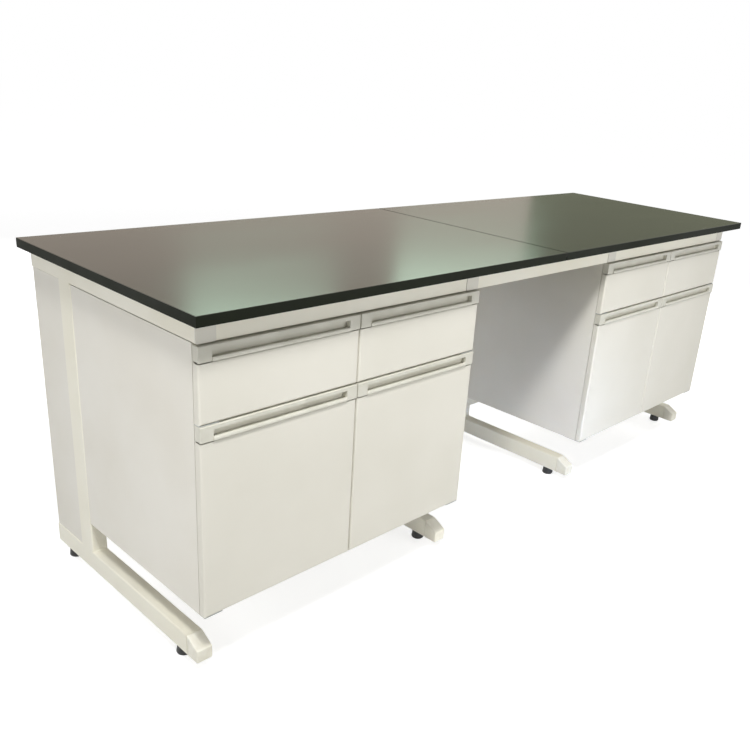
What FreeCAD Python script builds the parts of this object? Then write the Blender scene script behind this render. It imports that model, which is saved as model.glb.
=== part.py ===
import FreeCAD, Part
import math
import os

os.makedirs("parts", exist_ok=True)

# Laboratory workbench in millimetres: X along the bench, -Y towards the user, Z up.
# The origin lies on the floor, under the middle of the worktop.

# Worktop: two slabs laid end to end
bench_length = 2330.0
bench_depth = 750.0
bench_height = 850.0
slab_thickness = 22.0
slab_seam = 3.5
slab_bevel = 0.8
front_overhang = 45.0
side_overhang = 30.0

# C-frames: a foot beam, a column and a top arm of rectangular steel tube
tube_wall = 2.0
tube_corner = 4.0
foot_width = 40.0
foot_height = 54.0
foot_underside = 26.0
column_depth = 60.0
column_setback = 135.0
arm_width = 45.0
arm_height = 50.0
end_plate = 3.0
plug_length = 12.0
plug_clearance = 0.3

# Sloped cap on the front of each foot beam
cap_length = 42.0
cap_setback = 35.0
cap_drop = 22.0
cap_corner = 3.0
cap_joint_bevel = 0.8
cap_joint_gap = 1.2

# Levelling feet: a tapered plastic pad on a threaded stem, turned by hand in a weld nut
pad_radius = 19.0
pad_crown_radius = 16.0
pad_round = 5.0
pad_bevel = 1.0
pad_clearance = 1.0
stem_radius = 5.0
stem_grip = 28.0
stem_clearance = 0.05
nut_flats = 17.0
nut_sides = 6
nut_height = 10.0
foot_hole_clearance = 0.5
front_foot_inset = 43.0
rear_foot_inset = 55.0

# Rails that tie the C-frames together
rail_depth = 25.0
rail_wall = 1.5
rail_corner = 2.0
rail_joint_gap = 2.0
apron_setback = 6.0
crossbeam_depth = 40.0
crossbeam_height = 60.0
crossbeam_rise = 36.0

# Sheet trays that close the back and the ends
tray_skin = 1.0
rear_panel_thickness = 12.0
rear_panel_clearance = 1.0
end_cover_thickness = 15.0
end_cover_recess = 2.0

# Hung cabinets of double-skinned steel panels
cabinet_width = 820.0
cabinet_clearance = 87.0
cabinet_rear_gap = 2.0
panel_thickness = 16.0
panel_skin = 1.0
back_sheet = 1.2
top_rail_depth = 40.0
top_rail_setback = 30.0
shelf_thickness = 20.0
shelf_height = 215.0
shelf_side_gap = 1.0
shelf_front_gap = 25.0
shelf_rear_gap = 8.0
clip_width = 12.0
clip_height = 8.0
clip_reach = 10.0
clip_inset = 60.0

# Drawer and door fronts, each with a handle strip along its top edge
front_thickness = 18.0
front_standoff = 2.0
front_gap = 3.0
front_reveal = 2.5
front_edge_radius = 5.0
drawer_front_height = 161.5
door_lift = 0.5

# Moulded handle strip
strip_height = 36.0
strip_proud = 2.0
strip_edge_radius = 1.5
strip_end_radius = 2.0
strip_block = 30.0
strip_flange = 9.0
strip_back_wall = 8.0
strip_groove = 3.0
groove_depth = 5.0
lip_height = 11.0
lip_thickness = 4.0
lip_bulge = 2.5
hook_drop = 2.0
notch_height = 4.0
notch_length = 12.0
notch_wall = 2.5

# Drawer boxes of folded sheet on two-part roller runners
box_sheet = 1.0
box_height = 100.0
box_depth = 440.0
box_rise = 10.0
runner_gap = 13.0
runner_sheet = 1.2
runner_height = 30.0
runner_length = 450.0
runner_inset = 2.0
runner_rise = 8.0
runner_lip_gap = 1.3
roller_radius = 7.5
roller_width = 7.0
roller_inset = 14.0
roller_clearance = 0.3
rivet_radius = 2.5
arm_gap = 1.8

# Door pivots: a plate with a fixed pin above and below each door
pivot_inset = 6.0
pivot_depth = 6.0
pin_radius = 2.5
pin_length = 13.0
pin_clearance = 0.05
pin_end_gap = 1.0
pivot_plate = 1.6
plate_length = 46.0
plate_edge = 1.0
plate_setback = 2.0
lower_plate_depth = 66.0
pivot_block = 20.0

# Fasteners and stops
bolt_radius = 3.0
bolt_head_radius = 5.5
bolt_head = 4.0
bolt_tail = 3.0
bolt_nut_height = 5.0
bolt_hole_clearance = 0.3
screw_radius = 2.5
screw_head_radius = 5.0
screw_head = 3.0
screw_bite = 16.0
screw_inset = 90.0
pilot_clearance = 0.05
bumper_radius = 3.0
bumper_gap = 0.3
bumper_inset = 24.0

# Distance within which two edges count as level when edges are picked
pick_tolerance = 1e-6

# Levels and faces that follow from the sizes above
front_edge = -bench_depth / 2
back_edge = bench_depth / 2
front_face = front_edge + front_overhang
apron_face = front_face + apron_setback
column_back = back_edge - column_setback
column_front = column_back - column_depth
cap_tip = front_face + cap_setback
foot_front = cap_tip + cap_length
cap_rear = foot_front - cap_joint_gap
foot_rear = back_edge - end_plate
frame_half = bench_length / 2 - side_overhang

slab_bottom = bench_height - slab_thickness
arm_bottom = slab_bottom - arm_height
foot_top = foot_underside + foot_height
crossbeam_bottom = foot_top + crossbeam_rise
cabinet_bottom = foot_top + cabinet_clearance
floor_panel_top = cabinet_bottom + panel_thickness
top_rail_bottom = arm_bottom - panel_thickness
drawer_top = arm_bottom - front_reveal
drawer_bottom = drawer_top - drawer_front_height
door_top = drawer_bottom - front_gap
door_bottom = cabinet_bottom + door_lift
deck_middle = drawer_bottom - front_gap / 2
deck_bottom = deck_middle - panel_thickness / 2
deck_top = deck_middle + panel_thickness / 2
shelf_bottom = floor_panel_top + shelf_height

front_back = front_face + front_thickness
carcass_front = front_back + front_standoff
carcass_rear = column_front - cabinet_rear_gap
top_rail_front = carcass_front + top_rail_setback
back_sheet_front = carcass_rear - back_sheet
strip_front = front_face - strip_proud
pocket_back = front_back - strip_back_wall

box_bottom = deck_top + box_rise
box_rear = front_back + box_depth
runner_bottom = box_bottom + runner_rise
runner_front = carcass_front + runner_inset
roller_level = runner_bottom + runner_sheet + roller_clearance + roller_radius

places = ["far_left", "mid_left", "mid_right", "far_right"]
frame_faces = [-frame_half, cabinet_width - frame_half, frame_half - cabinet_width, frame_half]
frame_turns = [1, -1, 1, -1]
cabinets = {
    "left": (-frame_half, cabinet_width - frame_half),
    "right": (frame_half - cabinet_width, frame_half),
}


def block(x, y, z):
    corner = FreeCAD.Vector(x[0], y[0], z[0])
    return Part.makeBox(x[1] - x[0], y[1] - y[0], z[1] - z[0], corner)


def inset(span, amount):
    return (span[0] + amount, span[1] - amount)


def reach(start, length, turn):
    # A span that runs from start by length, to the right for turn 1 and to the left for turn -1
    end = start + length * turn
    return (min(start, end), max(start, end))


def edges_along(shape, axis):
    # Straight edges that run along the row axis with this index
    found = []
    for edge in shape.Edges:
        run = edge.Vertexes[-1].Point - edge.Vertexes[0].Point
        cross = [abs(run[i]) for i in range(3) if i != axis]
        if max(cross) < pick_tolerance:
            found.append(edge)
    return found


def rounded_block(spans, axis, radius):
    body = block(*spans)
    return body.makeFillet(radius, edges_along(body, axis))


def tube(spans, axis, wall, corner):
    # Rectangular tube along one axis, open at both ends
    hollow = [span if i == axis else inset(span, wall) for i, span in enumerate(spans)]
    outer = rounded_block(spans, axis, corner)
    return outer.cut(block(*hollow))


def pan(spans, skin, open_axis, open_end):
    # Double-skinned panel, open along one hidden edge
    hollow = [inset(span, skin) for span in spans]
    low, high = hollow[open_axis]
    hollow[open_axis] = (low, spans[open_axis][1]) if open_end > 0 else (spans[open_axis][0], high)
    return block(*spans).cut(block(*hollow))


def cylinder(radius, length, base, axis):
    directions = [FreeCAD.Vector(1, 0, 0), FreeCAD.Vector(0, 1, 0), FreeCAD.Vector(0, 0, 1)]
    return Part.makeCylinder(radius, length, FreeCAD.Vector(*base), directions[axis])


def side_profile(points, x):
    # Closed outline in the Y-Z plane, swept along X
    outline = [FreeCAD.Vector(x[0], y, z) for y, z in points]
    face = Part.Face(Part.makePolygon(outline + outline[:1]))
    return face.extrude(FreeCAD.Vector(x[1] - x[0], 0, 0))


def save(name, solids):
    shape = solids[0] if len(solids) == 1 else Part.makeCompound(solids)
    assert shape.isValid(), name
    shape.exportStep("parts/" + name + ".step")


def build_worktop():
    for side, turn in (("left", -1), ("right", 1)):
        x = reach(turn * slab_seam / 2, bench_length / 2 - slab_seam / 2, turn)
        slab = block(x, (front_edge, back_edge), (slab_bottom, bench_height))
        rim_level = bench_height - pick_tolerance
        rim = [e for e in slab.Edges if min(v.Point.z for v in e.Vertexes) > rim_level]
        slab = slab.makeChamfer(slab_bevel, rim)
        for x_screw, y_screw in screw_places():
            if x[0] < x_screw < x[1]:
                base = (x_screw, y_screw, slab_bottom)
                slab = slab.cut(cylinder(screw_radius + pilot_clearance, screw_bite, base, 2))
        save("worktop_" + side, [slab])


def arm_span(i):
    return reach(frame_faces[i], arm_width, frame_turns[i])


def foot_span(i):
    return reach(frame_faces[i], foot_width, frame_turns[i])


def middle(span):
    return (span[0] + span[1]) / 2


def screw_places():
    arms = [middle(arm_span(i)) for i in range(len(places))]
    return [(x, y) for x in arms for y in (front_face + screw_inset, back_edge - screw_inset)]


def bolt_places():
    arms = [middle(arm_span(i)) for i in range(len(places))]
    rows = (top_rail_front + top_rail_depth / 2, back_sheet_front - top_rail_depth / 2)
    return [(x, y) for x in arms for y in rows]


def foot_rows():
    return {"front": foot_front + front_foot_inset, "rear": back_edge - rear_foot_inset}


def build_c_frames():
    for i, place in enumerate(places):
        x_foot = foot_span(i)
        x_arm = arm_span(i)
        z_foot = (foot_underside, foot_top)
        z_column = (foot_top, arm_bottom)
        foot = tube([x_foot, (foot_front, foot_rear), z_foot], 1, tube_wall, tube_corner)
        for y in foot_rows().values():
            hole = (middle(x_foot), y, foot_underside)
            foot = foot.cut(cylinder(stem_radius + foot_hole_clearance, tube_wall, hole, 2))
        column = tube([x_foot, (column_front, column_back), z_column], 2, tube_wall, tube_corner)
        y_arm = (apron_face + end_plate, back_edge - end_plate)
        arm = tube([x_arm, y_arm, (arm_bottom, slab_bottom)], 1, tube_wall, tube_corner)
        for x, y in screw_places():
            base = (x, y, slab_bottom - tube_wall)
            arm = arm.cut(cylinder(screw_radius + bolt_hole_clearance, tube_wall, base, 2))
        for x, y in bolt_places():
            arm = arm.cut(cylinder(bolt_radius + bolt_hole_clearance, tube_wall, (x, y, arm_bottom), 2))
        save(place + "_c_frame", [foot, column, arm])


def end_plug(x, z, y_face, turn):
    # Plate over a tube end with a spigot that fits inside the tube
    plate = rounded_block([x, reach(y_face, end_plate, turn), z], 1, tube_corner)
    grip = tube_wall + plug_clearance
    spigot = block(inset(x, grip), reach(y_face, plug_length, -turn), inset(z, grip))
    return plate.fuse(spigot).removeSplitter()


def build_tube_ends():
    caps = []
    rear_plugs = []
    arm_plates = []
    z_foot = (foot_underside, foot_top)
    z_arm = (arm_bottom, slab_bottom)
    for i in range(len(places)):
        x = foot_span(i)
        outline = [
            (cap_rear, foot_underside),
            (cap_tip, foot_underside),
            (cap_tip, foot_top - cap_drop),
            (cap_rear, foot_top),
        ]
        cap = side_profile(outline, x)
        joint_face = cap_rear - pick_tolerance
        ahead = [e for e in cap.Edges if min(v.Point.y for v in e.Vertexes) < joint_face]
        cap = cap.makeFillet(cap_corner, ahead)
        joint_edges = [e for e in cap.Edges if min(v.Point.y for v in e.Vertexes) > joint_face]
        cap = cap.makeChamfer(cap_joint_bevel, joint_edges)
        grip = tube_wall + plug_clearance
        y_spigot = (cap_rear, foot_front + plug_length)
        spigot = block(inset(x, grip), y_spigot, inset(z_foot, grip))
        caps.append(cap.fuse(spigot).removeSplitter())
        rear_plugs.append(end_plug(x, z_foot, foot_rear, 1))
        arm_plates.append(end_plug(arm_span(i), z_arm, apron_face + end_plate, -1))
        arm_plates.append(end_plug(arm_span(i), z_arm, back_edge - end_plate, 1))
    save("foot_end_caps", caps)
    save("foot_rear_plugs", rear_plugs)
    save("arm_end_plates", arm_plates)


def build_levelling_feet():
    nuts = []
    pad_top = foot_underside - pad_clearance
    stem_length = pad_clearance + stem_grip
    for i, place in enumerate(places):
        x = middle(foot_span(i))
        for row, y in foot_rows().items():
            pad = Part.makeCone(pad_radius, pad_crown_radius, pad_top, FreeCAD.Vector(x, y, 0))
            sole = [e for e in pad.Edges if max(v.Point.z for v in e.Vertexes) < pick_tolerance]
            pad = pad.makeFillet(pad_round, sole)
            crown = [e for e in pad.Edges if min(v.Point.z for v in e.Vertexes) > pad_top - pick_tolerance]
            pad = pad.makeChamfer(pad_bevel, crown)
            stem = cylinder(stem_radius, stem_length, (x, y, pad_top), 2)
            save(place + "_" + row + "_foot", [pad.fuse(stem).removeSplitter()])
            nut_radius = nut_flats / math.sqrt(3)
            nut_base = foot_underside + tube_wall
            turns = [2 * math.pi * k / nut_sides for k in range(nut_sides + 1)]
            rim = [(x + nut_radius * math.cos(t), y + nut_radius * math.sin(t)) for t in turns]
            hexagon = Part.Face(Part.makePolygon([FreeCAD.Vector(u, v, nut_base) for u, v in rim]))
            nut = hexagon.extrude(FreeCAD.Vector(0, 0, nut_height))
            nuts.append(nut.cut(cylinder(stem_radius + stem_clearance, nut_height, (x, y, nut_base), 2)))
    save("foot_weld_nuts", nuts)


def bays(span_of):
    # Clear widths between neighbouring C-frames
    return [(span_of(i)[1], span_of(i + 1)[0]) for i in range(len(places) - 1)]


def build_rails():
    z_top = (arm_bottom, slab_bottom)
    y_front = (apron_face, apron_face + rail_depth)
    y_rear = (back_edge - rail_depth, back_edge)
    arm_bays = bays(arm_span)
    # Each rail is pushed against the arm on its left, and its joint shows on its right
    rail_bays = [(left, right - rail_joint_gap) for left, right in arm_bays]
    save("front_rails", [tube([x, y_front, z_top], 0, rail_wall, rail_corner) for x in rail_bays])
    save("rear_rails", [tube([x, y_rear, z_top], 0, rail_wall, rail_corner) for x in rail_bays])

    panel_front = column_back - rear_panel_thickness
    y_beam = (panel_front - crossbeam_depth, panel_front)
    z_beam = (crossbeam_bottom, crossbeam_bottom + crossbeam_height)
    beams = [tube([x, y_beam, z_beam], 0, rail_wall, rail_corner) for x in bays(foot_span)]
    save("lower_crossbeams", beams)

    y_panel = (panel_front, column_back)
    z_panel = (crossbeam_bottom, slab_bottom - rear_panel_clearance)
    panel_bays = [inset(x, rear_panel_clearance) for x in arm_bays]
    save("rear_panels", [pan([x, y_panel, z_panel], tray_skin, 1, -1) for x in panel_bays])

    covers = []
    y_cover = (column_back, back_edge)
    z_cover = (foot_top, arm_bottom)
    for i in (0, len(places) - 1):
        turn = frame_turns[i]
        x = reach(frame_faces[i] + end_cover_recess * turn, end_cover_thickness, turn)
        covers.append(pan([x, y_cover, z_cover], tray_skin, 0, turn))
    save("end_covers", covers)


def build_cabinets():
    shelves = []
    clips = []
    z_full = (cabinet_bottom, arm_bottom)
    y_full = (carcass_front, carcass_rear)
    y_inner = (carcass_front, back_sheet_front)
    for side, x in cabinets.items():
        x_inner = inset(x, panel_thickness)
        sides = []
        for x_side in ((x[0], x_inner[0]), (x_inner[1], x[1])):
            sides.append(pan([x_side, y_full, z_full], panel_skin, 2, 1))
        bottom = pan([x_inner, y_full, (cabinet_bottom, floor_panel_top)], panel_skin, 1, 1)
        back = block(x_inner, (back_sheet_front, carcass_rear), (floor_panel_top, arm_bottom))
        rails = []
        y_rails = (reach(top_rail_front, top_rail_depth, 1), reach(back_sheet_front, top_rail_depth, -1))
        for y_rail in y_rails:
            rail = tube([x_inner, y_rail, (top_rail_bottom, arm_bottom)], 0, panel_skin, panel_skin)
            for bolt_x, bolt_y in bolt_places():
                hole = cylinder(bolt_radius + bolt_hole_clearance, panel_thickness,
                                (bolt_x, bolt_y, top_rail_bottom), 2)
                rail = rail.cut(hole)
            rails.append(rail)
        save(side + "_cabinet_carcass", sides + [bottom, back] + rails)

        deck = pan([x_inner, y_inner, (deck_bottom, deck_top)], panel_skin, 1, 1)
        x_divider = (middle(x) - panel_thickness / 2, middle(x) + panel_thickness / 2)
        divider = pan([x_divider, y_inner, (deck_top, top_rail_bottom)], panel_skin, 1, 1)
        save(side + "_cabinet_partitions", [deck, divider])

        y_shelf = (carcass_front + shelf_front_gap, back_sheet_front - shelf_rear_gap)
        z_shelf = (shelf_bottom, shelf_bottom + shelf_thickness)
        shelves.append(pan([inset(x_inner, shelf_side_gap), y_shelf, z_shelf], panel_skin, 2, -1))
        for wall, turn in ((x_inner[0], 1), (x_inner[1], -1)):
            for y_clip in inset(y_shelf, clip_inset):
                y = (y_clip - clip_width / 2, y_clip + clip_width / 2)
                z = (shelf_bottom - clip_height, shelf_bottom)
                clips.append(block(reach(wall, clip_reach, turn), y, z))
    save("cupboard_shelves", shelves)
    save("shelf_clips", clips)


def front_spans():
    # Clear widths of the four fronts, two to each cabinet
    spans = []
    for x in cabinets.values():
        spans.append((x[0], middle(x) - front_gap / 2))
        spans.append((middle(x) + front_gap / 2, x[1]))
    return spans


def front_outline(x, z, skin):
    # Block a skin's thickness inside a front, with its face edges rounded apart from the top one
    y = inset((front_face, front_back), skin)
    body = block(inset(x, skin), y, (z[0] + skin, z[1]))
    face_edges = []
    for edge in body.Edges:
        on_face = max(v.Point.y for v in edge.Vertexes) < y[0] + pick_tolerance
        at_top = min(v.Point.z for v in edge.Vertexes) > z[1] - pick_tolerance
        if on_face and not at_top:
            face_edges.append(edge)
    return body.makeFillet(front_edge_radius - skin, face_edges)


def front_panel(x, z):
    # Double-skinned front, open at the top where the handle strip closes it
    return front_outline(x, z, 0).cut(front_outline(x, z, panel_skin))


def handle_strip(x, top):
    bottom = top - strip_height
    lip_top = bottom + lip_height
    body = block(x, (strip_front, front_back), (bottom, top))
    ends = [e for e in edges_along(body, 2) if e.Vertexes[0].Point.y < strip_front + pick_tolerance]
    body = body.makeFillet(strip_end_radius, ends)
    crown = []
    for edge in body.Edges:
        at_top = min(v.Point.z for v in edge.Vertexes) > top - pick_tolerance
        ahead = max(v.Point.y for v in edge.Vertexes) < front_back - pick_tolerance
        if at_top and ahead:
            crown.append(edge)
    body = body.makeFillet(strip_edge_radius, crown)
    x_pocket = inset(x, strip_block)
    pocket = block(x_pocket, (strip_front, pocket_back), (lip_top, top - strip_flange))
    hook = block(x_pocket, (strip_front + lip_thickness, pocket_back), (lip_top - hook_drop, lip_top))
    body = body.cut(pocket).cut(hook)
    # Rounded nose of the lower lip, standing proud between the end blocks
    low = FreeCAD.Vector(x_pocket[0], strip_front, bottom)
    nose = FreeCAD.Vector(x_pocket[0], strip_front - lip_bulge, bottom + lip_height / 2)
    high = FreeCAD.Vector(x_pocket[0], strip_front, lip_top)
    rim = Part.Wire([Part.Arc(low, nose, high).toShape(), Part.LineSegment(high, low).toShape()])
    lip = Part.Face(rim).extrude(FreeCAD.Vector(x_pocket[1] - x_pocket[0], 0, 0))
    body = body.fuse(lip).removeSplitter()
    # Groove along the joint with the panel, open to the hollow behind the panel's skin
    y_groove = (strip_front - lip_bulge, front_face + groove_depth)
    body = body.cut(block(x, y_groove, (bottom, bottom + strip_groove)))
    # Slot under each end block, seen from the side
    y_notch = (front_face + notch_wall, front_back - notch_wall)
    for end, turn in ((x[0], 1), (x[1], -1)):
        body = body.cut(block(reach(end, notch_length, turn), y_notch, (bottom, bottom + notch_height)))
    return body


def pivot_axis(i):
    # Door hinge line: at the outer edge of each cabinet, inside the door's thickness
    span = front_spans()[i]
    x = span[0] + pivot_inset if frame_turns[i] > 0 else span[1] - pivot_inset
    return (x, front_face + pivot_depth)


def build_drawers():
    channels = []
    rollers = []
    for i, place in enumerate(places):
        x = front_spans()[i]
        cabinet = cabinets["left"] if i < 2 else cabinets["right"]
        half_divider = panel_thickness / 2
        walls = [
            (cabinet[0] + panel_thickness, middle(cabinet) - half_divider),
            (middle(cabinet) + half_divider, cabinet[1] - panel_thickness),
        ][i % 2]
        panel_top = drawer_top - strip_height
        save(place + "_drawer_front", [front_panel(x, (drawer_bottom, panel_top))])
        save(place + "_drawer_handle", [handle_strip(x, drawer_top)])

        x_box = inset(walls, runner_gap)
        x_hollow = inset(x_box, box_sheet)
        y_box = (front_back, box_rear)
        y_hollow = inset(y_box, box_sheet)
        z_wall = (box_bottom + box_sheet, box_bottom + box_height)
        sheets = [
            block(x_box, y_box, (box_bottom, box_bottom + box_sheet)),
            block((x_box[0], x_hollow[0]), y_box, z_wall),
            block((x_hollow[1], x_box[1]), y_box, z_wall),
            block(x_hollow, (y_box[0], y_hollow[0]), z_wall),
            block(x_hollow, (y_hollow[1], y_box[1]), z_wall),
        ]
        save(place + "_drawer_box", sheets)

        moving = []
        for wall, box_side, turn in ((walls[0], x_box[0], 1), (walls[1], x_box[1], -1)):
            channels.append(fixed_channel(wall, turn))
            rollers.append(fixed_roller(wall, turn))
            moving += moving_runner(box_side, turn)
        save(place + "_drawer_rails", moving)
    save("fixed_drawer_runners", channels)
    save("fixed_runner_rollers", rollers)


def roller(x_start, width, rivet, y, z, turn):
    # Plastic roller on the rivet that holds it to its rail
    wheel = cylinder(roller_radius, width, (reach(x_start, width, turn)[0], y, z), 0)
    stub = cylinder(rivet_radius, rivet, (reach(x_start, rivet, -turn)[0], y, z), 0)
    return wheel.fuse(stub).removeSplitter()


def fixed_channel(wall, turn):
    # Channel screwed to the cabinet wall, open towards the drawer
    channel_width = runner_gap - runner_sheet - runner_lip_gap
    y = (runner_front, runner_front + runner_length)
    z = (runner_bottom, runner_bottom + runner_height)
    x = reach(wall, channel_width, turn)
    x_hollow = reach(wall + runner_sheet * turn, channel_width - runner_sheet, turn)
    return block(x, y, z).cut(block(x_hollow, y, inset(z, runner_sheet)))


def fixed_roller(wall, turn):
    x_start = wall + (runner_sheet + arm_gap) * turn
    return roller(x_start, roller_width, arm_gap, runner_front + roller_inset, roller_level, turn)


def moving_runner(box_side, turn):
    # Angle riveted to the drawer box: its flange runs on the fixed roller
    y = (front_back, box_rear)
    flange_bottom = roller_level + roller_radius + roller_clearance
    flange_top = flange_bottom + runner_sheet
    web = block(reach(box_side, runner_sheet, -turn), y, (roller_level - rivet_radius, flange_top))
    flange_width = runner_gap - runner_sheet - arm_gap
    flange = block(reach(box_side, flange_width, -turn), y, (flange_bottom, flange_top))
    rail = web.fuse(flange).removeSplitter()
    x_web = box_side - runner_sheet * turn
    rivet = runner_gap - 2 * runner_sheet - arm_gap - roller_width
    wheel = roller(x_web - rivet * turn, roller_width, rivet, box_rear - roller_inset, roller_level, -turn)
    return [rail, wheel]


def build_doors():
    brackets = []
    for i, place in enumerate(places):
        x = front_spans()[i]
        turn = frame_turns[i]
        edge = x[0] if turn > 0 else x[1]
        axis_x, axis_y = pivot_axis(i)
        panel_top = door_top - strip_height
        bore = pin_radius + pin_clearance
        hole_depth = pin_length + pin_end_gap

        panel = front_panel(x, (door_bottom, panel_top))
        y_block = inset((front_face, front_back), panel_skin)
        x_block = inset(reach(edge, pivot_block, turn), panel_skin)
        corner = block(x_block, y_block, (door_bottom + panel_skin, door_bottom + pivot_block))
        corner = corner.common(front_outline(x, (door_bottom, panel_top), panel_skin))
        panel = panel.fuse(corner).removeSplitter()
        panel = panel.cut(cylinder(bore, hole_depth, (axis_x, axis_y, door_bottom), 2))
        save(place + "_door", [panel])

        strip = handle_strip(x, door_top)
        strip = strip.cut(cylinder(bore, hole_depth, (axis_x, axis_y, door_top - hole_depth), 2))
        save(place + "_door_handle", [strip])

        x_plate = reach(edge + plate_edge * turn, plate_length - plate_edge, turn)
        y_tip = front_face + plate_setback
        z_plate = (cabinet_bottom - pivot_plate, cabinet_bottom)
        lower = block(x_plate, (y_tip, y_tip + lower_plate_depth), z_plate)
        lower_pin = cylinder(pin_radius, pin_length, (axis_x, axis_y, cabinet_bottom), 2)
        brackets.append(lower.fuse(lower_pin).removeSplitter())

        plate_low = deck_middle - pivot_plate / 2
        x_flange = reach(edge + panel_thickness * turn, plate_length - panel_thickness, turn)
        y_flange = (carcass_front - pivot_plate, carcass_front)
        tongue = block(x_plate, (y_tip, carcass_front), (plate_low, plate_low + pivot_plate))
        flange = block(x_flange, y_flange, (deck_bottom, deck_top))
        upper_pin = cylinder(pin_radius, pin_length, (axis_x, axis_y, plate_low - pin_length), 2)
        brackets.append(tongue.fuse(flange).fuse(upper_pin).removeSplitter())
    save("door_pivot_brackets", brackets)


def build_fasteners():
    bolts = []
    for x, y in bolt_places():
        head = cylinder(bolt_head_radius, bolt_head, (x, y, top_rail_bottom - bolt_head), 2)
        shank_length = panel_thickness + tube_wall + bolt_nut_height + bolt_tail
        shank = cylinder(bolt_radius, shank_length, (x, y, top_rail_bottom), 2)
        nut = cylinder(bolt_head_radius, bolt_nut_height, (x, y, arm_bottom + tube_wall), 2)
        bolts.append(head.fuse(shank).fuse(nut).removeSplitter())
    save("cabinet_hanging_bolts", bolts)

    screws = []
    for x, y in screw_places():
        head_top = slab_bottom - tube_wall
        head = cylinder(screw_head_radius, screw_head, (x, y, head_top - screw_head), 2)
        shank = cylinder(screw_radius, tube_wall + screw_bite, (x, y, head_top), 2)
        screws.append(head.fuse(shank).removeSplitter())
    save("worktop_screws", screws)

    bumpers = []
    thickness = front_standoff - bumper_gap
    # Drawer bumpers sit on the front edges of the cabinet sides and of the divider
    on_side = panel_thickness / 2
    on_divider = (panel_thickness - front_gap) / 4
    for i, x in enumerate(front_spans()):
        base_y = carcass_front - thickness
        first, last = (on_side, on_divider) if frame_turns[i] > 0 else (on_divider, on_side)
        for bumper_x in (x[0] + first, x[1] - last):
            z = deck_top + bumper_inset
            bumpers.append(cylinder(bumper_radius, thickness, (bumper_x, base_y, z), 1))
        free_edge = x[1] - bumper_inset if frame_turns[i] > 0 else x[0] + bumper_inset
        z = (cabinet_bottom + floor_panel_top) / 2
        bumpers.append(cylinder(bumper_radius, thickness, (free_edge, base_y, z), 1))
    save("closing_bumpers", bumpers)


build_worktop()
build_c_frames()
build_tube_ends()
build_levelling_feet()
build_rails()
build_cabinets()
build_drawers()
build_doors()
build_fasteners()
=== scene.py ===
import math
import bmesh
import bpy
from mathutils import Matrix, Vector


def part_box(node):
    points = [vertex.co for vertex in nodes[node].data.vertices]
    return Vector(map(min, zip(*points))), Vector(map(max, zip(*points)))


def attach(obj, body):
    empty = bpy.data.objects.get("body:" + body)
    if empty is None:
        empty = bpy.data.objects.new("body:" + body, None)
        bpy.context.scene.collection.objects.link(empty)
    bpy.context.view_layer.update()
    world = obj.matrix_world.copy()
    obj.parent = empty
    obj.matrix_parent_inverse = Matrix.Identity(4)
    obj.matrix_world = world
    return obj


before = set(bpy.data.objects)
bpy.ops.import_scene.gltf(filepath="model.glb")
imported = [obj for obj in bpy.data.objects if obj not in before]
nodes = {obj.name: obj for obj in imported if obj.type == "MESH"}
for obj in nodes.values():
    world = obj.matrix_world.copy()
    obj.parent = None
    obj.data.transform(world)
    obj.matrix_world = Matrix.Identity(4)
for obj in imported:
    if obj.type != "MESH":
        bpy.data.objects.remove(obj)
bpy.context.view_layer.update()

mm = 0.001
scene = bpy.context.scene
places = ["far_left", "mid_left", "mid_right", "far_right"]
mixFirst, mixSecond, mixResult = 6, 7, 2  # colour sockets of the Mix node: two inputs and the output


def toLinear(hexCode):
    # sRGB hex to the linear colour that the shader sockets take
    channels = [int(hexCode[i:i + 2], 16) / 255 for i in (1, 3, 5)]
    linear = [c / 12.92 if c <= 0.04045 else ((c + 0.055) / 1.055) ** 2.4 for c in channels]
    return (*linear, 1.0)


def perMetre(sizeMm):
    # texture scale that makes one feature of the pattern this many millimetres wide
    return 1 / (sizeMm * mm)


def joinInputs(tree, node, links):
    for key, socket in links.items():
        tree.links.new(socket, node.inputs[key])


def addNode(tree, kind, settings=None, links=None):
    # settings are attributes or input values, links join inputs to other nodes' outputs
    node = tree.nodes.new(kind)
    for key, value in (settings or {}).items():
        if isinstance(key, str) and hasattr(node, key):
            setattr(node, key, value)
        else:
            node.inputs[key].default_value = value
    joinInputs(tree, node, links or {})
    return node


def newMaterial(name):
    # empty material with its shader, and the object's own coordinates, which follow every pose
    material = bpy.data.materials.new(name)
    material.use_nodes = True
    tree = material.node_tree
    tree.nodes.clear()
    shader = addNode(tree, "ShaderNodeBsdfPrincipled")
    addNode(tree, "ShaderNodeOutputMaterial", links={"Surface": shader.outputs["BSDF"]})
    place = addNode(tree, "ShaderNodeTexCoord").outputs["Object"]
    return material, tree, shader, place


def paint(nodeNames, material):
    for name in nodeNames:
        slots = nodes[name].data.materials
        slots.clear()
        slots.append(material)


def paintSides(nodeNames, material, look):
    # a second finish on every face that doesn't look up, and on the small bevels along the seam
    seamReach = look["seamReachMm"] * mm
    for name in nodeNames:
        mesh = nodes[name].data
        mesh.materials.append(material)
        for face in mesh.polygons:
            outerBevel = face.normal.z > look["bevelUp"] and abs(face.center.x) > seamReach
            pressed = face.normal.z > look["flatUp"] or outerBevel
            face.material_index = 0 if pressed else 1


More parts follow.
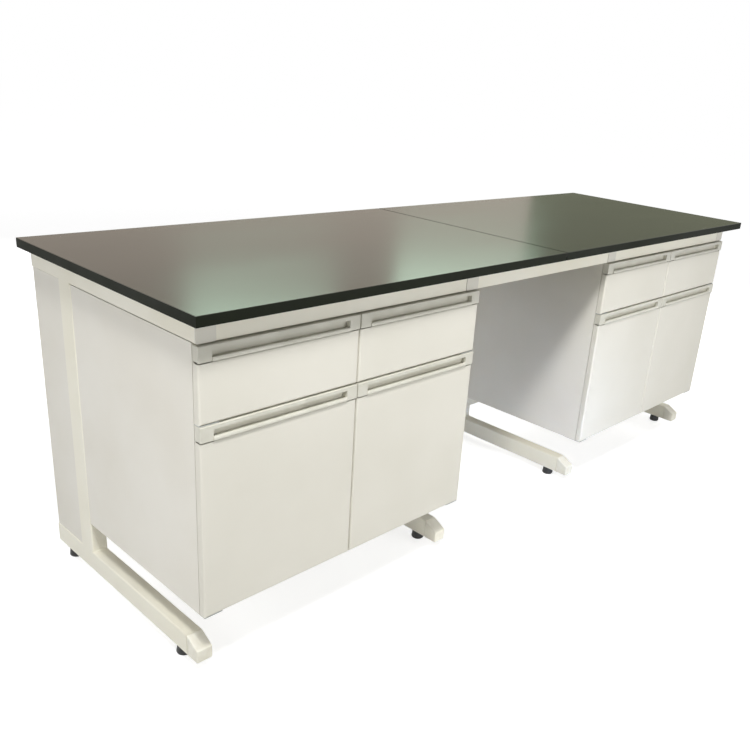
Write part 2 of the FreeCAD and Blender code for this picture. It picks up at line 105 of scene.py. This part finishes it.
# Polyester powder coat, sprayed and baked on steel: a warm off-white with a satin gloss, a fine orange
# peel that breaks up highlights, and slow changes of tone where the film is thicker or has been wiped
framePaint = {
    "name": "ivory powder coat on tube", "colour": "#f7f4e6", "thin": "#f1eddc", "roughness": (0.34, 0.50),
    "toneMm": 260, "wipeMm": 70, "peelMm": 5, "peelDepth": 0.035, "waveMm": 400, "waveDepth": 0.0,
}
panelPaint = {
    "name": "white powder coat on sheet", "colour": "#edeae1", "thin": "#e6e2d7", "roughness": (0.38, 0.55),
    "toneMm": 340, "wipeMm": 90, "peelMm": 5, "peelDepth": 0.03, "waveMm": 300, "waveDepth": 0.35,
}
frontPaint = {
    "name": "cream powder coat on fronts", "colour": "#e5e2d7", "thin": "#dfdcd0", "roughness": (0.36, 0.52),
    "toneMm": 340, "wipeMm": 90, "peelMm": 5, "peelDepth": 0.03, "waveMm": 300, "waveDepth": 0.35,
}
boxPaint = {
    "name": "grey powder coat on drawer sheet", "colour": "#d3d3cf", "thin": "#c6c6c1",
    "roughness": (0.42, 0.60), "toneMm": 160, "wipeMm": 45, "peelMm": 4, "peelDepth": 0.04,
    "waveMm": 200, "waveDepth": 0.15,
}
# Spray and wiping pattern that the four coats share
spray = {
    "toneSpan": (0.35, 0.68), "toneDetail": 3.0, "wipeSpan": (0.3, 0.7), "wipeDetail": 5.0,
    "wipeBreakUp": 0.6, "peelDetail": 1.0, "waveDetail": 0.0,
}


def powderCoat(look):
    material, tree, shader, place = newMaterial(look["name"])
    toneLow, toneHigh = spray["toneSpan"]
    wipeLow, wipeHigh = spray["wipeSpan"]
    smoothest, roughest = look["roughness"]
    tone = addNode(tree, "ShaderNodeTexNoise",
                   {"Scale": perMetre(look["toneMm"]), "Detail": spray["toneDetail"]}, {"Vector": place})
    toneShare = addNode(tree, "ShaderNodeMapRange", {"From Min": toneLow, "From Max": toneHigh},
                        {"Value": tone.outputs["Fac"]})
    colour = addNode(tree, "ShaderNodeMix", {"data_type": "RGBA", mixFirst: toLinear(look["colour"]),
                     mixSecond: toLinear(look["thin"])}, {"Factor": toneShare.outputs["Result"]})
    wiped = addNode(tree, "ShaderNodeTexNoise", {"Scale": perMetre(look["wipeMm"]),
                    "Detail": spray["wipeDetail"], "Roughness": spray["wipeBreakUp"]}, {"Vector": place})
    gloss = addNode(tree, "ShaderNodeMapRange", {"From Min": wipeLow, "From Max": wipeHigh,
                    "To Min": smoothest, "To Max": roughest}, {"Value": wiped.outputs["Fac"]})
    # real orange peel is about 1.5 mm across, drawn wider so that it shows at this size
    peel = addNode(tree, "ShaderNodeTexNoise",
                   {"Scale": perMetre(look["peelMm"]), "Detail": spray["peelDetail"]}, {"Vector": place})
    peelBump = addNode(tree, "ShaderNodeBump", {"Strength": 1.0, "Distance": look["peelDepth"] * mm},
                       {"Height": peel.outputs["Fac"]})
    # thin sheet is never quite flat, so reflections bend a little from place to place
    wave = addNode(tree, "ShaderNodeTexNoise",
                   {"Scale": perMetre(look["waveMm"]), "Detail": spray["waveDetail"]}, {"Vector": place})
    waveBump = addNode(tree, "ShaderNodeBump", {"Strength": 1.0, "Distance": look["waveDepth"] * mm},
                       {"Height": wave.outputs["Fac"], "Normal": peelBump.outputs["Normal"]})
    joinInputs(tree, shader, {"Base Color": colour.outputs[mixResult], "Roughness": gloss.outputs["Result"],
               "Normal": waveBump.outputs["Normal"]})
    return material


# Phenolic compact laminate with a satin press finish: near black, with a soft haze of reflected room that
# brightens towards grazing, a fine grain, and wiping marks that change the gloss from place to place
slabLaminate = {
    "name": "black compact laminate", "colour": "#191a17", "worn": "#22231e", "roughness": (0.17, 0.22),
    "specular": 0.5, "tint": "#f4f3e4", "wearMm": 180, "smearMm": 300, "grainMm": 3, "grainDepth": 0.002,
}
# Sawn and sanded edge of the same laminate: the bare core, duller and blacker than the pressed face
slabEdge = {
    "name": "sanded laminate edge", "colour": "#10130e", "worn": "#1b1f16", "roughness": (0.50, 0.62),
    "specular": 0.10, "tint": "#f4f3e4", "wearMm": 60, "smearMm": 90, "grainMm": 2, "grainDepth": 0.03,
    "flatUp": 0.9, "bevelUp": 0.5, "seamReachMm": 5.0,
}
# Wear and smears on both: smears run along the bench, as a cloth does
rubbing = {
    "wearDetail": 6.0, "wearBreakUp": 0.65, "smearStretch": (0.35, 1.0, 1.0), "smearDetail": 7.0,
    "smearBreakUp": 0.55, "smearSpan": (0.3, 0.7), "grainDetail": 2.0,
}


def compactLaminate(look):
    material, tree, shader, place = newMaterial(look["name"])
    smearLow, smearHigh = rubbing["smearSpan"]
    smoothest, roughest = look["roughness"]
    shader.inputs["Specular IOR Level"].default_value = look["specular"]
    shader.inputs["Specular Tint"].default_value = toLinear(look["tint"])
    wear = addNode(tree, "ShaderNodeTexNoise", {"Scale": perMetre(look["wearMm"]),
                   "Detail": rubbing["wearDetail"], "Roughness": rubbing["wearBreakUp"]}, {"Vector": place})
    colour = addNode(tree, "ShaderNodeMix", {"data_type": "RGBA", mixFirst: toLinear(look["colour"]),
                     mixSecond: toLinear(look["worn"])}, {"Factor": wear.outputs["Fac"]})
    along = addNode(tree, "ShaderNodeMapping", {"Scale": rubbing["smearStretch"]}, {"Vector": place})
    smear = addNode(tree, "ShaderNodeTexNoise", {"Scale": perMetre(look["smearMm"]),
                    "Detail": rubbing["smearDetail"], "Roughness": rubbing["smearBreakUp"]},
                    {"Vector": along.outputs["Vector"]})
    gloss = addNode(tree, "ShaderNodeMapRange", {"From Min": smearLow, "From Max": smearHigh,
                    "To Min": smoothest, "To Max": roughest}, {"Value": smear.outputs["Fac"]})
    # the pressed grain is under 1 mm, drawn wider so that it shows
    grain = addNode(tree, "ShaderNodeTexNoise",
                    {"Scale": perMetre(look["grainMm"]), "Detail": rubbing["grainDetail"]},
                    {"Vector": place})
    bump = addNode(tree, "ShaderNodeBump", {"Strength": 1.0, "Distance": look["grainDepth"] * mm},
                   {"Height": grain.outputs["Fac"]})
    joinInputs(tree, shader, {"Base Color": colour.outputs[mixResult], "Roughness": gloss.outputs["Result"],
               "Normal": bump.outputs["Normal"]})
    return material


# Moulded thermoplastics: even colour through the part, a spark-eroded grain from the mould that keeps the
# gloss low, and slight flow marks that drift across the part
stripPlastic = {
    "name": "light grey moulded ABS", "colour": "#d9d7cb", "flow": "#cfcdc0", "roughness": (0.36, 0.46),
    "flowMm": 120, "grainMm": 2.5, "grainDepth": 0.02,
}
capPlastic = {
    "name": "ivory moulded polypropylene", "colour": "#f0ede0", "flow": "#e7e3d3", "roughness": (0.36, 0.48),
    "flowMm": 50, "grainMm": 2.5, "grainDepth": 0.03,
}
footPlastic = {
    "name": "black moulded nylon", "colour": "#141414", "flow": "#1e1e1d", "roughness": (0.40, 0.55),
    "flowMm": 20, "grainMm": 2, "grainDepth": 0.05,
}
rollerPlastic = {
    "name": "white turned nylon", "colour": "#e4e3dc", "flow": "#d4d2c8", "roughness": (0.35, 0.45),
    "flowMm": 12, "grainMm": 1.5, "grainDepth": 0.03,
}
bumperRubber = {
    "name": "grey soft rubber", "colour": "#8d8d8a", "flow": "#7b7b78", "roughness": (0.70, 0.85),
    "flowMm": 6, "grainMm": 1, "grainDepth": 0.03,
}
# Flow marks and grain that all the mouldings share
melt = {"flowDetail": 2.0, "flowSwirl": 1.5, "flowSpan": (0.35, 0.65), "grainDetail": 2.0}


def mouldedPlastic(look):
    material, tree, shader, place = newMaterial(look["name"])
    flowLow, flowHigh = melt["flowSpan"]
    smoothest, roughest = look["roughness"]
    flow = addNode(tree, "ShaderNodeTexNoise", {"Scale": perMetre(look["flowMm"]),
                   "Detail": melt["flowDetail"], "Distortion": melt["flowSwirl"]}, {"Vector": place})
    flowShare = addNode(tree, "ShaderNodeMapRange", {"From Min": flowLow, "From Max": flowHigh},
                        {"Value": flow.outputs["Fac"]})
    colour = addNode(tree, "ShaderNodeMix", {"data_type": "RGBA", mixFirst: toLinear(look["colour"]),
                     mixSecond: toLinear(look["flow"])}, {"Factor": flowShare.outputs["Result"]})
    gloss = addNode(tree, "ShaderNodeMapRange", {"To Min": smoothest, "To Max": roughest},
                    {"Value": flow.outputs["Fac"]})
    # mould grain is about 0.3 mm, drawn wider so that it shows
    grain = addNode(tree, "ShaderNodeTexNoise",
                    {"Scale": perMetre(look["grainMm"]), "Detail": melt["grainDetail"]}, {"Vector": place})
    bump = addNode(tree, "ShaderNodeBump", {"Strength": 1.0, "Distance": look["grainDepth"] * mm},
                   {"Height": grain.outputs["Fac"]})
    joinInputs(tree, shader, {"Base Color": colour.outputs[mixResult], "Roughness": gloss.outputs["Result"],
               "Normal": bump.outputs["Normal"]})
    return material


# Zinc plating with a clear passivate: a cool bright metal with a faint crystal spangle and dull patches
zincPlate = {
    "name": "zinc plated steel", "bright": "#d2d4d3", "dull": "#a9adad", "roughness": (0.28, 0.46),
    "spangleMm": 9, "patchMm": 40, "patchDetail": 4.0,
}


def platedZinc(look):
    material, tree, shader, place = newMaterial(look["name"])
    smoothest, roughest = look["roughness"]
    shader.inputs["Metallic"].default_value = 1.0
    spangle = addNode(tree, "ShaderNodeTexVoronoi", {"Scale": perMetre(look["spangleMm"])},
                      {"Vector": place})
    patch = addNode(tree, "ShaderNodeTexNoise",
                    {"Scale": perMetre(look["patchMm"]), "Detail": look["patchDetail"]}, {"Vector": place})
    colour = addNode(tree, "ShaderNodeMix", {"data_type": "RGBA", mixFirst: toLinear(look["bright"]),
                     mixSecond: toLinear(look["dull"])}, {"Factor": patch.outputs["Fac"]})
    gloss = addNode(tree, "ShaderNodeMapRange", {"To Min": smoothest, "To Max": roughest},
                    {"Value": spangle.outputs["Color"]})
    joinInputs(tree, shader, {"Base Color": colour.outputs[mixResult], "Roughness": gloss.outputs["Result"]})
    return material


frameNodes = [place + "_c_frame" for place in places]
frameNodes += ["front_rails", "rear_rails", "lower_crossbeams"]
panelNodes = ["rear_panels", "end_covers", "cupboard_shelves"]
for side in ("left", "right"):
    panelNodes += [side + "_cabinet_carcass", side + "_cabinet_partitions"]
frontNodes = ["arm_end_plates"] + [place + kind for place in places for kind in ("_drawer_front", "_door")]
stripNodes = [place + kind for place in places for kind in ("_drawer_handle", "_door_handle")]
footNodes = [place + row for place in places for row in ("_front_foot", "_rear_foot")]
zincNodes = ["shelf_clips", "fixed_drawer_runners", "door_pivot_brackets", "cabinet_hanging_bolts",
             "worktop_screws", "foot_weld_nuts"] + [place + "_drawer_rails" for place in places]
slabNodes = ["worktop_left", "worktop_right"]

tubePaint = powderCoat(framePaint)
sheetPaint = powderCoat(boxPaint)
paint(frameNodes, tubePaint)
paint(panelNodes, powderCoat(panelPaint))
paint(frontNodes, powderCoat(frontPaint))
paint([place + "_drawer_box" for place in places], sheetPaint)
paint(slabNodes, compactLaminate(slabLaminate))
paintSides(slabNodes, compactLaminate(slabEdge), slabEdge)
paint(stripNodes, mouldedPlastic(stripPlastic))
paint(["foot_end_caps", "foot_rear_plugs"], mouldedPlastic(capPlastic))
paint(footNodes, mouldedPlastic(footPlastic))
paint(["fixed_runner_rollers"], mouldedPlastic(rollerPlastic))
paint(["closing_bumpers"], mouldedPlastic(bumperRubber))
paint(zincNodes, platedZinc(zincPlate))
print("materials:", len(bpy.data.materials))


def addPiece(name, shape, material, body):
    mesh = bpy.data.meshes.new(name)
    shape.to_mesh(mesh)
    shape.free()
    mesh.materials.append(material)
    piece = bpy.data.objects.new(name, mesh)
    scene.collection.objects.link(piece)
    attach(piece, body)


def addBox(shape, xEnds, yEnds, zEnds):
    low = Vector((min(xEnds), min(yEnds), min(zEnds)))
    high = Vector((max(xEnds), max(yEnds), max(zEnds)))
    stretch = Matrix.Diagonal((*(high - low), 1.0))
    bmesh.ops.create_cube(shape, size=1.0, matrix=Matrix.Translation((low + high) / 2) @ stretch)


def closeRings(shape, rings, smooth):
    # skin from ring to ring, with a flat face at each end
    for ring, after in zip(rings, rings[1:]):
        for i in range(len(ring)):
            side = shape.faces.new((ring[i - 1], ring[i], after[i], after[i - 1]))
            side.smooth = smooth
    shape.faces.new(rings[0])
    shape.faces.new(rings[-1])
    bmesh.ops.recalc_face_normals(shape, faces=shape.faces)


# Welds of the C-frames under the paint: butt joints on the flat faces are filled and ground flush, and
# rippled beads stay across the front and back of the columns, where no grinder reaches
welds = {
    "tubeCornerMm": 4.0, "columnMm": (40.0, 60.0), "beadMm": 3.0, "rippleMm": 0.6, "pitchMm": 3.0,
    "ringsPerDrop": 6, "arcSteps": 6, "behindCoverMm": 19.0, "inward": (1, -1, 1, -1),
}


def addBead(shape, xEnds, corner, outward, look):
    # quarter-round rope in the corner of two tubes, thinner between one drop of weld and the next
    (y, z), (yWay, zWay) = corner, outward
    drops = round(abs(xEnds[1] - xEnds[0]) / (look["pitchMm"] * mm))
    ringCount = drops * look["ringsPerDrop"]
    turns = [math.pi / 2 * k / look["arcSteps"] for k in range(look["arcSteps"] + 1)]
    rings = []
    for i in range(ringCount + 1):
        x = xEnds[0] + (xEnds[1] - xEnds[0]) * i / ringCount
        swell = abs(math.sin(math.pi * i / look["ringsPerDrop"]))
        radius = (look["beadMm"] - look["rippleMm"] * (1 - swell)) * mm
        rim = [(x, y + yWay * radius * math.cos(t), z + zWay * radius * math.sin(t)) for t in turns]
        rings.append([shape.verts.new(point) for point in [(x, y, z)] + rim])
    closeRings(shape, rings, smooth=True)


def addWelds(look, material):
    corner = look["tubeCornerMm"] * mm
    width, depth = [size * mm for size in look["columnMm"]]
    # the end covers stand between foot beam and arm, against the back of the columns
    coverLow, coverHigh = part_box("end_covers")
    footTop, armBottom, columnBack = coverLow[2], coverHigh[2], coverLow[1]
    columnFront = columnBack - depth
    yFlat = (columnFront + corner, columnBack - corner)
    footJoint, armJoint = (footTop - corner, footTop), (armBottom, armBottom + corner)
    fills, beads = bmesh.new(), bmesh.new()
    for place, inward in zip(places, look["inward"]):
        low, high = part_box(place + "_c_frame")
        outerFace = low[0] if inward > 0 else high[0]
        innerFace = outerFace + inward * width
        outside, inside = outerFace + inward * corner, innerFace - inward * corner
        addBox(fills, (outerFace, outside), yFlat, footJoint)
        addBox(fills, (outerFace, outside), yFlat, armJoint)
        addBox(fills, (innerFace, inside), yFlat, footJoint)
        xFront = (outside, inside)
        xBack = (outerFace + inward * look["behindCoverMm"] * mm, inside)
        addBead(beads, xFront, (columnFront, footTop), (-1, 1), look)
        addBead(beads, xBack, (columnBack, footTop), (1, 1), look)
        addBead(beads, xBack, (columnBack, armBottom), (1, -1), look)
    addPiece("weld_fills", fills, material, "bench")
    addPiece("weld_beads", beads, material, "bench")


addWelds(welds, tubePaint)
print("welds done")


# Safe edge of each drawer box: the sheet is rolled inwards along the top of its sides and back
hems = {"radiusMm": 1.8, "sides": 12}


def addHem(place, look, material):
    low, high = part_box(place + "_drawer_box")
    radius = look["radiusMm"] * mm
    xLeft, xRight = low[0] + radius, high[0] - radius
    yFront, yBack, level = low[1], high[1] - radius, high[2] - radius
    # corners of the roll, each with its way across the roll, which is longer at the two mitres
    path = [((xLeft, yFront), (1, 0)), ((xLeft, yBack), (1, -1)), ((xRight, yBack), (-1, -1)),
            ((xRight, yFront), (-1, 0))]
    turns = [2 * math.pi * k / look["sides"] for k in range(look["sides"])]
    shape = bmesh.new()
    rings = []
    for (x, y), (xWay, yWay) in path:
        across = [radius * math.cos(t) for t in turns]
        rim = [(x + xWay * a, y + yWay * a, level + radius * math.sin(t)) for a, t in zip(across, turns)]
        rings.append([shape.verts.new(point) for point in rim])
    closeRings(shape, rings, smooth=True)
    addPiece(place + "_drawer_hem", shape, material, place + "_drawer")


for place in places:
    addHem(place, hems, sheetPaint)
print("hems done")


# Silicone rubber pressed into the seam and tooled hollow with a wet finger: black, and duller than the
# pressed faces
sealant = {
    "name": "black silicone sealant", "colour": "#0f100e", "flow": "#181915", "roughness": (0.45, 0.60),
    "flowMm": 60, "grainMm": 3, "grainDepth": 0.02, "depthMm": 12.0, "belowTopMm": 0.9, "hollowMm": 0.5,
    "endMm": 0.6, "arcSteps": 6,
}


def addSealant(look):
    (leftLow, leftHigh), (rightLow, _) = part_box("worktop_left"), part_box("worktop_right")
    xLeft, xRight = leftHigh[0], rightLow[0]
    top = leftHigh[2] - look["belowTopMm"] * mm
    bottom = top - look["depthMm"] * mm
    profile = [(xLeft, bottom), (xRight, bottom)]
    for k in range(look["arcSteps"] + 1):
        share = k / look["arcSteps"]
        sag = look["hollowMm"] * mm * math.sin(math.pi * share)
        profile.append((xRight + (xLeft - xRight) * share, top - sag))
    end = look["endMm"] * mm
    yEnds = (leftLow[1] + end, leftHigh[1] - end)
    shape = bmesh.new()
    rings = [[shape.verts.new((x, y, z)) for x, z in profile] for y in yEnds]
    closeRings(shape, rings, smooth=False)
    addPiece("seam_sealant", shape, mouldedPlastic(look), "bench")


addSealant(sealant)
print("sealant done")


# Studio: white sweep paper, two steep keys in front, fills on every side and close to the floor, a small
# spot on the second frame's foot, and past the bench two windows in a warm wall and a darker olive wall
# beside them, which the worktop mirrors
studio = {
    "floorSize": 60.0, "floorBounce": "#c0c0bd", "floorSeen": 0.60, "glowNear": 0.74, "glowFar": 0.94,
    "nearRadius": 1.5, "farRadius": 6.0, "skyColour": "#ffffff", "skyLevel": 0.10, "backdropLevel": 1.0,
}
# The windows are only mirrored, and the fills above the worktop never are, so that no white patch hides it
plainLamp = {"colour": "#ffffff", "spread": 180.0, "lights": True, "mirrored": True}
lamps = {
    "key": {
        "position": (-1.7, -1.28, 2.8), "target": (-0.1, 0.0, 0.5), "size": (0.4, 0.4), "watts": 49.0,
    },
    "second_key": {
        "position": (-0.6, -1.3, 2.8), "target": (-0.1, 0.0, 0.5), "size": (0.4, 0.4), "watts": 13.0,
    },
    "left_fill": {
        "position": (-3.0, -0.4, 1.35), "target": (-0.9, 0.0, 0.5), "size": (1.0, 1.0), "watts": 13.0,
        "mirrored": False,
    },
    "left_low_fill": {
        "position": (-3.6, -0.2, 0.45), "target": (-0.9, 0.0, 0.35), "size": (2.0, 0.6), "watts": 7.0,
    },
    "front_fill": {
        "position": (0.55, -2.6, 0.9), "target": (0.3, 0.0, 0.6), "size": (1.2, 0.8), "watts": 25.5,
        "mirrored": False,
    },
    "corner_low_fill": {
        "position": (-2.2, -2.7, 0.3), "target": (-0.2, 0.0, 0.25), "size": (1.6, 0.4), "watts": 6.0,
    },
    "foot_spot": {
        "position": (-1.6, -1.6, 0.12), "target": (-0.335, -0.3, 0.055), "size": (0.1, 0.06),
        "watts": 0.018, "spread": 8.0,
    },
    "knee_fill": {
        "position": (-0.15, -1.1, 0.12), "target": (0.36, -0.1, 0.18), "size": (0.5, 0.15), "watts": 0.6,
        "spread": 60.0, "colour": "#cad9ff",
    },
    "back_fill": {
        "position": (0.9, 3.2, 1.9), "target": (0.1, 0.3, 0.4), "size": (1.6, 1.2), "watts": 75.0,
        "mirrored": False,
    },
    "right_fill": {
        "position": (3.4, 0.3, 1.7), "target": (1.1, 0.1, 0.5), "size": (1.0, 1.0), "watts": 28.0,
        "mirrored": False,
    },
    "left_window": {
        "position": (2.60, 4.55, 3.5), "target": (-0.94, 1.01, 3.5), "size": (1.4, 1.6), "watts": 25.0,
        "colour": "#d2fbe2", "lights": False,
    },
    "right_window": {
        "position": (3.89, 3.15, 2.84), "target": (0.35, -0.39, 2.84), "size": (1.3, 1.4), "watts": 14.5,
        "colour": "#d2fbe2", "lights": False,
    },
}
walls = {
    "warm_wall": {"ends": ((-7.1, 14.3), (4.5, 2.9)), "height": 6.0, "colour": "#e1d4c6"},
    "olive_wall": {"ends": ((4.3, 2.8), (7.6, -0.5)), "height": 3.2, "colour": "#949781"},
}


def seenShare(tree):
    # 1 for rays from the camera, mirrors and glass, 0 for light on its way to a surface
    path = addNode(tree, "ShaderNodeLightPath").outputs
    mirrored = addNode(tree, "ShaderNodeMath", {"operation": "MAXIMUM"},
                       {0: path["Is Camera Ray"], 1: path["Is Glossy Ray"]})
    either = addNode(tree, "ShaderNodeMath", {"operation": "MAXIMUM"},
                     {0: mirrored.outputs[0], 1: path["Is Transmission Ray"]})
    return either.outputs[0]


def addStagePlane(name, corners):
    mesh = bpy.data.meshes.new(name)
    mesh.from_pydata(corners, [], [(0, 1, 2, 3)])
    plane = bpy.data.objects.new(name, mesh)
    scene.collection.objects.link(plane)
    material = bpy.data.materials.new(name)
    material.use_nodes = True
    material.node_tree.nodes.clear()
    mesh.materials.append(material)
    return plane, material.node_tree


def addFloor(look):
    half = look["floorSize"] / 2
    corners = [(-half, -half, 0), (half, -half, 0), (half, half, 0), (-half, half, 0)]
    _, tree = addStagePlane("sweep_paper", corners)
    # white where it is seen or mirrored, with the bench's shadow, and greyer for the light it throws back
    thrown = addNode(tree, "ShaderNodeBsdfDiffuse", {"Color": toLinear(look["floorBounce"])})
    # the lamps reach less far than the paper does, so the glow grows with the distance from the bench
    place = addNode(tree, "ShaderNodeTexCoord").outputs["Object"]
    away = addNode(tree, "ShaderNodeVectorMath", {"operation": "LENGTH"}, {0: place})
    level = addNode(tree, "ShaderNodeMapRange", {"From Min": look["nearRadius"], "To Min": look["glowNear"],
                    "From Max": look["farRadius"], "To Max": look["glowFar"]},
                    {"Value": away.outputs["Value"]})
    glow = addNode(tree, "ShaderNodeEmission", links={"Strength": level.outputs["Result"]})
    lit = addNode(tree, "ShaderNodeBsdfDiffuse", {"Color": (*[look["floorSeen"]] * 3, 1.0)})
    white = addNode(tree, "ShaderNodeAddShader", links={0: glow.outputs[0], 1: lit.outputs[0]})
    paper = addNode(tree, "ShaderNodeMixShader", links={0: seenShare(tree), 1: thrown.outputs[0],
                    2: white.outputs[0]})
    addNode(tree, "ShaderNodeOutputMaterial", links={"Surface": paper.outputs[0]})


def addSky(look):
    world = bpy.data.worlds.new("white studio")
    world.use_nodes = True
    scene.world = world
    tree = world.node_tree
    tree.nodes.clear()
    colour = toLinear(look["skyColour"])
    light = addNode(tree, "ShaderNodeBackground", {"Strength": look["skyLevel"], "Color": colour})
    backdrop = addNode(tree, "ShaderNodeBackground", {"Strength": look["backdropLevel"], "Color": colour})
    mixed = addNode(tree, "ShaderNodeMixShader", links={0: seenShare(tree), 1: light.outputs[0],
                    2: backdrop.outputs[0]})
    addNode(tree, "ShaderNodeOutputWorld", links={"Surface": mixed.outputs[0]})


def addLamp(name, look):
    lamp = bpy.data.lights.new(name, "AREA")
    lamp.shape = "RECTANGLE"
    lamp.size, lamp.size_y = look["size"]
    lamp.energy = look["watts"]
    lamp.color = toLinear(look["colour"])[:3]
    lamp.spread = math.radians(look["spread"])
    holder = bpy.data.objects.new(name, lamp)
    holder.location = look["position"]
    aim = Vector(look["target"]) - Vector(look["position"])
    holder.rotation_euler = aim.to_track_quat("-Z", "Y").to_euler()
    holder.visible_camera = False
    holder.visible_diffuse = look["lights"]
    holder.visible_glossy = look["mirrored"]
    scene.collection.objects.link(holder)


def addWall(name, look):
    (startX, startY), (endX, endY) = look["ends"]
    top = look["height"]
    corners = [(startX, startY, 0), (endX, endY, 0), (endX, endY, top), (startX, startY, top)]
    board, tree = addStagePlane(name, corners)
    shade = addNode(tree, "ShaderNodeEmission", {"Color": toLinear(look["colour"])})
    addNode(tree, "ShaderNodeOutputMaterial", links={"Surface": shade.outputs[0]})
    # only mirrored, never seen or shading anything
    board.visible_camera = False
    board.visible_diffuse = False
    board.visible_shadow = False


addFloor(studio)
addSky(studio)
for lampName, lampLook in lamps.items():
    addLamp(lampName, {**plainLamp, **lampLook})
for wallName, wallLook in walls.items():
    addWall(wallName, wallLook)
print("studio ready")


# Camera where the photograph was taken from, as fitted to the bench's corners: heading from +X towards +Y,
# tilt from the horizon, both in degrees
viewpoint = {
    "position": (-1.9152, -1.5822, 1.2737), "heading": 41.33, "tilt": -21.85, "roll": 4.82,
    "lens": 39.0, "shift": (-0.0658, 0.0344),
}


def addCamera(look):
    camera = bpy.data.cameras.new("photo_camera")
    camera.lens = look["lens"]
    camera.shift_x, camera.shift_y = look["shift"]
    holder = bpy.data.objects.new("photo_camera", camera)
    # an unturned camera looks straight down with its top towards +Y, hence the two right angles
    turn = Matrix.Rotation(math.radians(look["heading"] - 90), 4, "Z")
    tip = Matrix.Rotation(math.radians(90 + look["tilt"]), 4, "X")
    roll = Matrix.Rotation(math.radians(look["roll"]), 4, "Z")
    holder.matrix_world = Matrix.Translation(look["position"]) @ turn @ tip @ roll
    scene.collection.objects.link(holder)
    scene.camera = holder


addCamera(viewpoint)
scene.view_settings.view_transform = "Standard"
